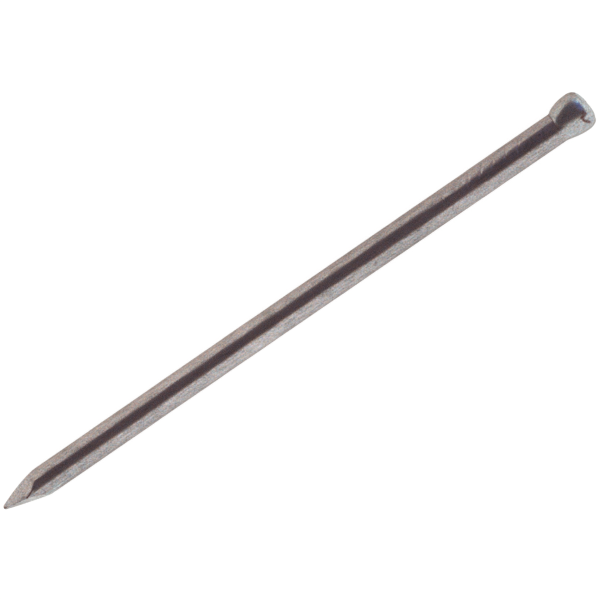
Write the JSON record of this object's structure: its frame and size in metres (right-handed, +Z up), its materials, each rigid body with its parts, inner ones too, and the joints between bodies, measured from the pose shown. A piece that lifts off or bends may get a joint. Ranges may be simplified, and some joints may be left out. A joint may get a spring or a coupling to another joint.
{
  "type": "round lost-head wire nail",
  "caption": "Round wire nail with a small barrel-shaped lost head, grip marks near the neck and a faceted cut point; driven into timber and punched just below the surface.",
  "frame": {"origin": "on the wire's axis at the neck, where the shank meets the head", "axes": "+X along the nail from its point to its head, +Z up as the nail lies on a table, +Y towards the side to which the head is pressed over"},
  "size_m": [0.065, 0.0037, 0.0036],
  "materials": {
    "bright_steel": "bright drawn steel wire, dull satin skin with fine draw lines, not plated"
  },
  "bodies": {
    "root": {"nail": "bright_steel"}
  },
  "joints": []
}
